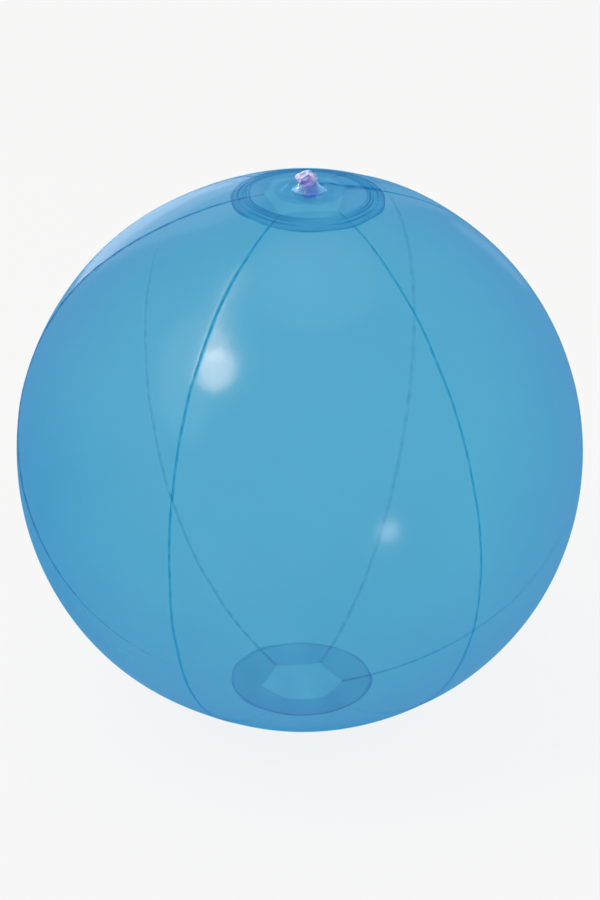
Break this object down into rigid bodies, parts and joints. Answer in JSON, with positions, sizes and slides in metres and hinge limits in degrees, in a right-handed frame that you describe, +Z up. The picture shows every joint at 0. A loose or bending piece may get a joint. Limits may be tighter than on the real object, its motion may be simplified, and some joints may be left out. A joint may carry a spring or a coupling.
{
  "type": "beach ball",
  "caption": "Inflated translucent film ball of long welded panels with a disc over each pole and a push-in air valve with a stopper on a strap.",
  "frame": {"origin": "centre of the flat on the bottom cap that the ball rests on, with the ball standing on it", "axes": "+Z up through both caps towards the valve, -Y towards the front, +X to the right"},
  "size_m": [0.2782, 0.28, 0.2894],
  "materials": {
    "blue_film": "gloss",
    "clear_vinyl": "gloss"
  },
  "bodies": {
    "ball": {"panel_1": "blue_film", "panel_2": "blue_film", "panel_3": "blue_film", "panel_4": "blue_film", "panel_5": "blue_film", "panel_6": "blue_film", "top_cap": "blue_film", "bottom_cap": "blue_film", "valve_patch": "blue_film", "valve_flange": "clear_vinyl", "valve_web": "clear_vinyl"},
    "valve": {"valve_stem": "clear_vinyl", "stopper_strap": "clear_vinyl"},
    "stopper": {"stopper": "clear_vinyl"},
    "flap": {"check_flap": "clear_vinyl"}
  },
  "joints": [
    {"name": "valve_push_in", "type": "slide", "parent": "ball", "child": "valve", "axis": [0.3746, 0, -0.9272], "range_m": [0, 0.0075], "deforming": ["valve_web"]},
    {"name": "stopper_pull", "type": "slide", "parent": "valve", "child": "stopper", "axis": [-0.3746, 0, 0.9272], "range_m": [0, 0.0042], "deforming": ["stopper_strap"]},
    {"name": "flap_open", "type": "hinge", "parent": "valve", "child": "flap", "pos_m": [-0.00205, 0, 0.27541], "axis": [0, 1, 0], "range_deg": [0, 65], "stiffness_Nm_per_rad": 0.00001, "springref_deg": -17.19}
  ]
}
